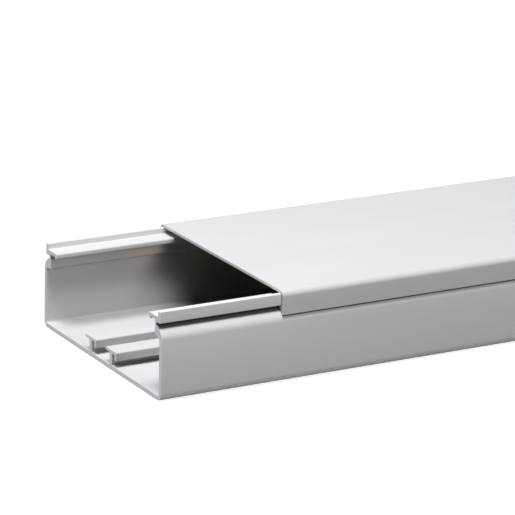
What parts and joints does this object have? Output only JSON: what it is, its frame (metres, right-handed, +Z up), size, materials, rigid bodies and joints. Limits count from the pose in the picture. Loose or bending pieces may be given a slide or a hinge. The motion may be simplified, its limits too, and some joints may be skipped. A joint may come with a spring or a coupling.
{
  "type": "cable trunking",
  "caption": "Plastic cable trunking: a channel with clip edges and hooked rails on its slotted floor, and a flat lid that hooks on and slides along it.",
  "frame": {"origin": "middle of the base's underside", "axes": "+X along the length, away from the open end; +Y across the width; +Z up, towards the lid"},
  "size_m": [2.057, 0.11, 0.04],
  "materials": {
    "base_plastic": "satin extruded rigid plastic",
    "lid_plastic": "satin extruded rigid plastic"
  },
  "bodies": {
    "base": {"base": "base_plastic"},
    "lid": {"lid": "lid_plastic"}
  },
  "joints": [
    {"name": "lid_slide", "type": "slide", "parent": "base", "child": "lid", "axis": [1, 0, 0], "range_m": [-0.057, 0.943]}
  ]
}
